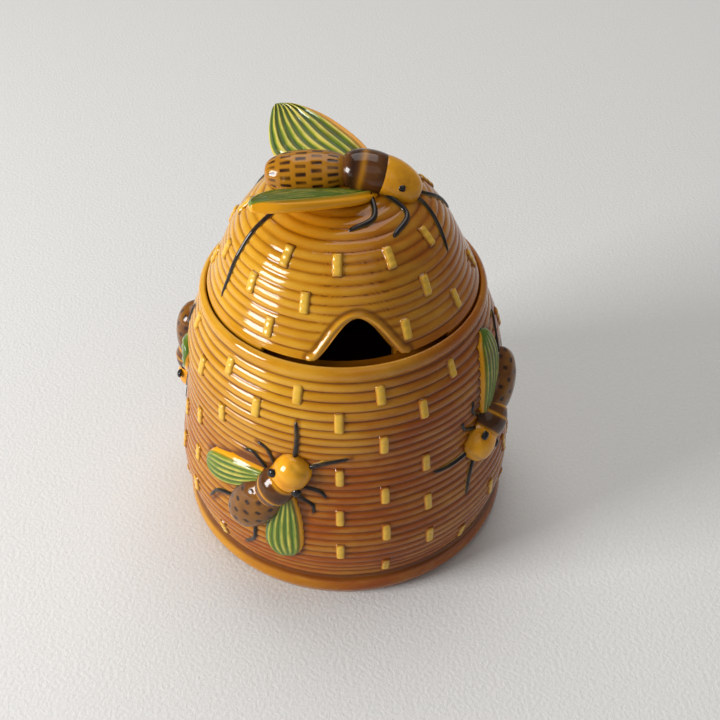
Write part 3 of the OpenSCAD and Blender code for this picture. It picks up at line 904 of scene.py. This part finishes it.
def finial_wing(side, n=56, m=64, thick=3.6):
    """A thick raised wing: ribbed above, plain amber below; the left one's ribs painted paler as highlight,
    the right one's fainter as shade.
    """
    p, s, t = wing_sheet(BIG_LEAD, BIG_TRAIL, n, m)
    edge = np.maximum(0, 1 - np.abs(2 * t - 1) ** 6) ** 0.5
    tip = np.maximum(0, 1 - s ** 14) ** 0.5
    rib = np.cos(t * BIG_WING_RIBS * 2 * math.pi)
    fade = step(0, 0.1, s) * (1 - step(0.8, 1.0, s))
    body = edge * tip * thick / 2
    above = {"pool": 0.75 * step(0.3, 1.0, -rib) * fade,
             # Painted highlight on the raised left wing's ribs, painted shade on the right wing's fainter
             # ones
             "crest": (1.0 if side > 0 else 0.35) * step(0.1, 0.9, rib) * fade,
             "lead": 1 - step(0.05, 0.14, t)}
    below = {"pool": 0.0, "crest": 0.0, "lead": 1.0}
    c, sn = math.cos(WING_LIFT), math.sin(WING_LIFT)
    parts = []
    for h, marks in ((body * (0.8 + 0.2 * fade * rib), above), (-body, below)):
        v = BIG_WING_ROOT + p[..., 1] * c - h * sn
        w = BIG_WING_DROP + p[..., 1] * sn + h * c
        parts.append(sheet(finial(p[..., 0], side * v, w), **marks))
    return join_parts(parts)


def on_dome(u, v, h):
    """Lays handle bee points (forwards, left, height) on the dome below."""
    x, y, _ = np.moveaxis(finial(u, v, 0 * u), -1, 0)
    r = np.hypot(x, y)
    table = np.linspace(0, 1, 2001)
    f = np.interp(-r, -dome_point(table)[0], table)
    rr, zz = off_dome(f, h)
    k = rr / np.maximum(r, 1e-6)
    return np.stack([x * k, y * k, zz], -1)


def dome_limbs(paths, radius):
    """Both sides' limbs of the handle bee, paler where they meet the dome."""
    parts = []
    for side in (-1, 1):
        for path in paths:
            x, y, h, top = limb(path, radius, n=48)
            parts.append(sheet(on_dome(x, side * y, h), pool=1 - step(0.1, 0.5, top),
                               crest=0.9 * (1 - step(0.2, 0.55, top)) * (np.abs(top) > 0.05)))
    return join_parts(parts)


# The add-on

GLAZES = {}


def glaze(name):
    """The glaze for a slot, made once."""
    s = bpy.context.scene.hive_pot
    makers = {
        "honey_glaze": lambda: honey_glaze(s),
        "umber_glaze": lambda: painted_glaze("umber glaze", s.umber, s.umber_deep, s.amber),
        "amber_glaze": lambda: eye_glaze(s),
        "leaf_glaze": lambda: wing_glaze(s),
        "black_glaze": lambda: painted_glaze("black glaze", INK, INK_DEEP, s.straw),
    }
    if name not in GLAZES:
        GLAZES[name] = makers[name]()
    return GLAZES[name]


def colour(name, value):
    return FloatVectorProperty(name=name, description=name + " of the glaze", subtype="COLOR", size=3,
                               min=0, max=1, default=value)


class HivePotSettings(bpy.types.PropertyGroup):
    """Colours of the dressed pot and the camera's place"""
    honey: colour("Honey", (0.54, 0.24, 0.005))
    honey_deep: colour("Deep honey", (0.29, 0.062, 0.001))
    straw: colour("Straw", (0.68, 0.40, 0.045))
    groove: colour("Groove brown", (0.13, 0.034, 0.002))
    amber: colour("Amber", (0.80, 0.34, 0.008))
    umber: colour("Umber", (0.14, 0.046, 0.008))
    umber_deep: colour("Deep umber", (0.05, 0.018, 0.008))
    leaf: colour("Leaf", (0.16, 0.22, 0.022))
    leaf_deep: colour("Deep leaf", (0.055, 0.12, 0.012))
    leaf_dark: colour("Dark leaf", (0.02, 0.055, 0.007))
    leaf_pale: colour("Pale leaf", (0.60, 0.49, 0.08))
    lens: FloatProperty(name="Lens", description="Focal length of the camera", default=55.0, unit="CAMERA")
    distance: FloatProperty(name="Distance", description="Camera to the pot's middle",
                            default=0.322, unit="LENGTH")
    azimuth: FloatProperty(name="Azimuth", description="Camera's turn from the notch side",
                           default=math.radians(-6), subtype="ANGLE")
    elevation: FloatProperty(name="Elevation", description="Camera's height angle",
                             default=math.radians(41.8), subtype="ANGLE")


def add_floor(scene):
    """A plain pale floor that bends up into a backdrop."""
    g = Glaze("table cloth")
    weave = g.noise(900.0, 2.0)
    g.finish(g.mix(g.clamp(weave), *FLOOR_TONES), 0.9, weave, 0.0003, coat=0.0)
    bend = np.linspace(0, math.pi / 2, 24)
    ys = np.concatenate([np.linspace(FLOOR_FRONT, FLOOR_BACK, 8), FLOOR_BACK + BEND_R * np.sin(bend),
                         [FLOOR_BACK + BEND_R]])
    zs = np.concatenate([np.zeros(8), BEND_R * (1 - np.cos(bend)), [BACKDROP_H]])
    points = [(x, y, z) for y, z in zip(ys, zs) for x in (-FLOOR_HALF, FLOOR_HALF)]
    faces = [(2 * i, 2 * i + 1, 2 * i + 3, 2 * i + 2) for i in range(len(ys) - 1)]
    mesh = bpy.data.meshes.new("floor")
    mesh.from_pydata(points, [], faces)
    mesh.shade_smooth()
    mesh.materials.append(g.material)
    floor = bpy.data.objects.new("floor", mesh)
    scene.collection.objects.link(floor)


def add_lamp(scene, name, azimuth, elevation, distance, width, height, watts, tint):
    """An area lamp aimed at the pot."""
    data = bpy.data.lights.new(name, "AREA")
    data.shape, data.size, data.size_y, data.energy, data.color = "RECTANGLE", width, height, watts, tint
    lamp = bpy.data.objects.new(name, data)
    a, e = math.radians(azimuth), math.radians(elevation)
    way = Vector((math.sin(a) * math.cos(e), -math.cos(a) * math.cos(e), math.sin(e)))
    lamp.location = LAMP_AIM + distance * way
    lamp.rotation_euler = (LAMP_AIM - lamp.location).to_track_quat("-Z", "Y").to_euler()
    scene.collection.objects.link(lamp)


def add_camera(scene, settings):
    """The photo's view of the pot."""
    camera = bpy.data.cameras.new("camera")
    camera.lens, camera.sensor_width = settings.lens, SENSOR_W
    camera.shift_x, camera.shift_y = CAMERA_SHIFT
    eye = bpy.data.objects.new("camera", camera)
    e = settings.elevation
    turn = Matrix.Rotation(settings.azimuth, 3, "Z")
    eye.location = CAMERA_AIM + settings.distance * (turn @ Vector((0, -math.cos(e), math.sin(e))))
    eye.rotation_euler = (turn @ Matrix.Rotation(math.pi / 2 - e, 3, "X")
                          @ Matrix.Rotation(CAMERA_ROLL, 3, "Z")).to_euler()
    scene.collection.objects.link(eye)
    scene.camera = eye


class HIVE_OT_stage(bpy.types.Operator):
    """Set the floor, the lamps and the camera"""
    bl_idname = "hive.stage"
    bl_label = "Stage"

    def execute(self, context):
        scene = context.scene
        add_floor(scene)
        for lamp in LAMPS:
            add_lamp(scene, *lamp)
        world = bpy.data.worlds.new("room")
        scene.world = world
        world.use_nodes = True
        room = world.node_tree.nodes["Background"].inputs
        room["Color"].default_value = (1, 1, 1, 1)
        room["Strength"].default_value = ROOM_LIGHT
        add_camera(scene, scene.hive_pot)
        scene.view_settings.view_transform = "Standard"
        return {"FINISHED"}


class HIVE_OT_pot(bpy.types.Operator):
    """Build the coiled wall of the pot and its stitches"""
    bl_idname = "hive.pot"
    bl_label = "Pot"

    def execute(self, context):
        add_piece("pot_wall", pot_wall_mesh(), glaze("honey_glaze"), "pot", ["pot_body"])
        mesh = scatter("pot stitches", pot_stitch_places(), stitch_mesh(), glaze("honey_glaze"))
        add_piece("pot_stitches", mesh, glaze("honey_glaze"), "pot", ["pot_body"])
        return {"FINISHED"}


class HIVE_OT_relief_bees(bpy.types.Operator):
    """Model the relief bees on the wall"""
    bl_idname = "hive.relief_bees"
    bl_label = "Relief bees"

    def execute(self, context):
        for bee in BEES:
            for part, make, slot in (("body", relief_body, "umber_glaze"),
                                     ("head", relief_head, "amber_glaze"),
                                     ("wings", relief_wings, "leaf_glaze"),
                                     ("legs", relief_legs, "black_glaze")):
                name = f"bee_{bee}_{part}"
                add_piece(name + "_relief", mesh_from(name, *make(bee)), glaze(slot), "pot", [name])
        return {"FINISHED"}


class HIVE_OT_lid(bpy.types.Operator):
    """Build the domed lid with its notch, ring and stitches"""
    bl_idname = "hive.lid"
    bl_label = "Lid"

    def execute(self, context):
        add_piece("lid_shell", lid_mesh(), glaze("honey_glaze"), "lid", ["lid_dome"])
        add_piece("lid_ring", spigot_mesh(), glaze("honey_glaze"), "lid", ["lid_dome"])
        mesh = scatter("lid stitches", lid_stitch_places(), stitch_mesh(), glaze("honey_glaze"))
        add_piece("lid_stitches", mesh, glaze("honey_glaze"), "lid", ["lid_dome"])
        return {"FINISHED"}


class HIVE_OT_handle_bee(bpy.types.Operator):
    """Model the large bee that is the lid's handle"""
    bl_idname = "hive.handle_bee"
    bl_label = "Handle bee"

    def execute(self, context):
        pieces = (("abdomen", finial_abdomen(), "umber_glaze"), ("thorax", finial_thorax(), "umber_glaze"),
                  ("head", finial_head(), "amber_glaze"), ("wing_left", finial_wing(1), "leaf_glaze"),
                  ("wing_right", finial_wing(-1), "leaf_glaze"),
                  ("legs", dome_limbs(FEET, 0.95), "black_glaze"),
                  ("feelers", dome_limbs(FEELERS, 0.9), "black_glaze"))
        for part, built, slot in pieces:
            add_piece(f"handle_{part}", mesh_from(part, *built), glaze(slot), "lid", [f"finial_{part}"])
        return {"FINISHED"}


OPERATORS = (HIVE_OT_stage, HIVE_OT_pot, HIVE_OT_relief_bees, HIVE_OT_lid, HIVE_OT_handle_bee)


class HIVE_PT_panel(bpy.types.Panel):
    """Colours, camera and building steps of the honey pot"""
    bl_idname = "HIVE_PT_panel"
    bl_label = "Hive honey pot"
    bl_space_type = "VIEW_3D"
    bl_region_type = "UI"
    bl_category = "Honey pot"

    def draw(self, context):
        for key in HivePotSettings.__annotations__:
            self.layout.prop(context.scene.hive_pot, key)
        for operator in OPERATORS:
            self.layout.operator(operator.bl_idname)


def register():
    for cls in (HivePotSettings, *OPERATORS, HIVE_PT_panel):
        bpy.utils.register_class(cls)
    bpy.types.Scene.hive_pot = PointerProperty(type=HivePotSettings)


def unregister():
    del bpy.types.Scene.hive_pot
    for cls in reversed((HivePotSettings, *OPERATORS, HIVE_PT_panel)):
        bpy.utils.unregister_class(cls)


def main():
    register()
    for operator in OPERATORS:
        group, name = operator.bl_idname.split(".")
        getattr(getattr(bpy.ops, group), name)()


if __name__ == "__main__":
    main()
